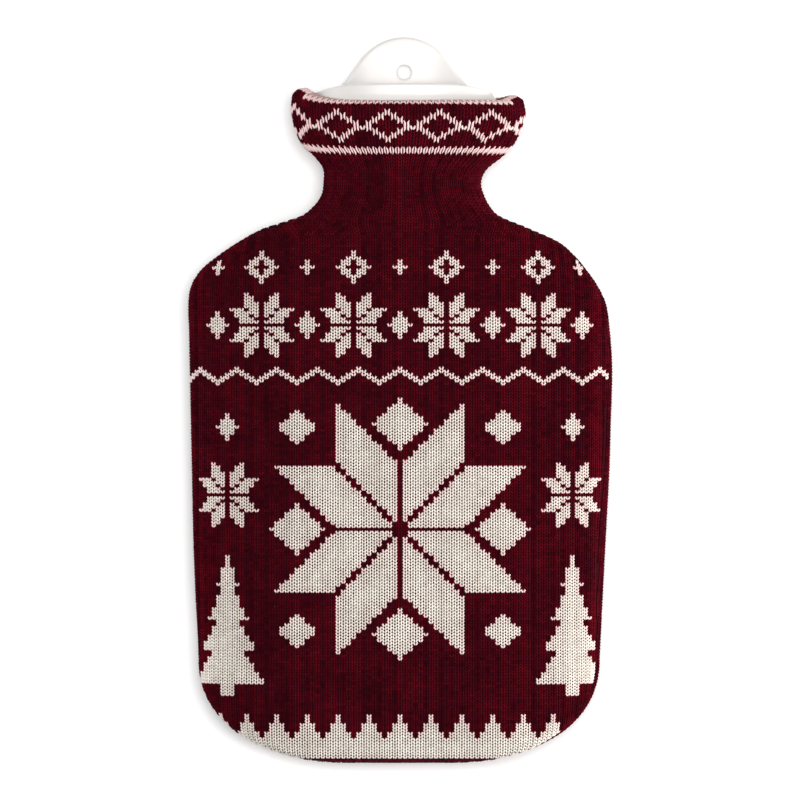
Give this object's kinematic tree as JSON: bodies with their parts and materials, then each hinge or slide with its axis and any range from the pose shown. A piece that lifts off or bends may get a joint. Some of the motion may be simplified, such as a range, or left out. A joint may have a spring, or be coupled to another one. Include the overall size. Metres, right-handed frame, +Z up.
{
  "type": "hot water bottle with knitted cover",
  "caption": "Flat rubber hot water bottle in a fitted knitted cover with a flared cuff, lying on its back; its white mouth and hanging tab stand out of the cuff.",
  "frame": {"origin": "on the surface the bottle lies on, under the middle of its box", "axes": "+Z up out of the front of the cover, +Y towards the mouth and tab, +X to the right as seen from the front"},
  "size_m": [0.2023, 0.3461, 0.0446],
  "materials": {
    "knit": "matte knitted yarn, burgundy with cream",
    "bottle_rubber": "smooth white rubber, satin"
  },
  "bodies": {
    "root": {"cover_front": "knit", "cover_back": "knit", "bottle_body": "bottle_rubber", "bottle_collar": "bottle_rubber"}
  },
  "joints": []
}
